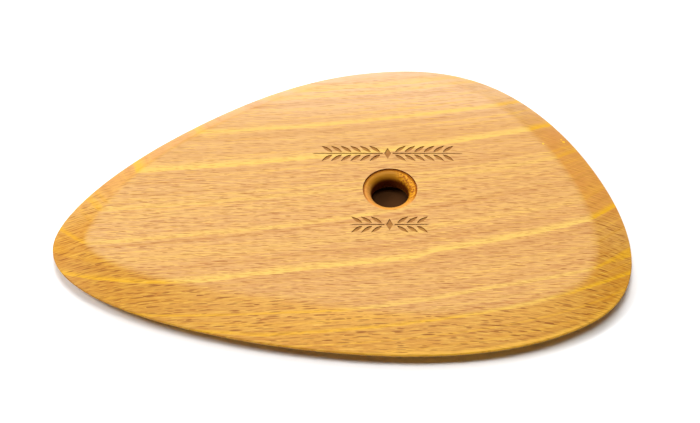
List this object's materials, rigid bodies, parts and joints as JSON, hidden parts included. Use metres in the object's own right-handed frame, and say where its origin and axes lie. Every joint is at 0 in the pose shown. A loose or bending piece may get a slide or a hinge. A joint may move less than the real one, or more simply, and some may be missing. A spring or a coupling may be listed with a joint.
{
  "type": "wooden pottery rib",
  "caption": "Large rounded-triangle pottery rib in solid beech: flat faces, wide soft bevel to a thin rounded edge, one rounded-over hole.",
  "frame": {"origin": "middle of the footprint's bounding box, on the back face the rib lies on", "axes": "+X along the rib's length, from the narrow tip to the broad end, along the grain; +Z out of the front face"},
  "size_m": [0.1824, 0.1198, 0.008],
  "materials": {
    "beech": "satin oiled beech"
  },
  "bodies": {
    "root": {"rib_body": "beech"}
  },
  "joints": []
}
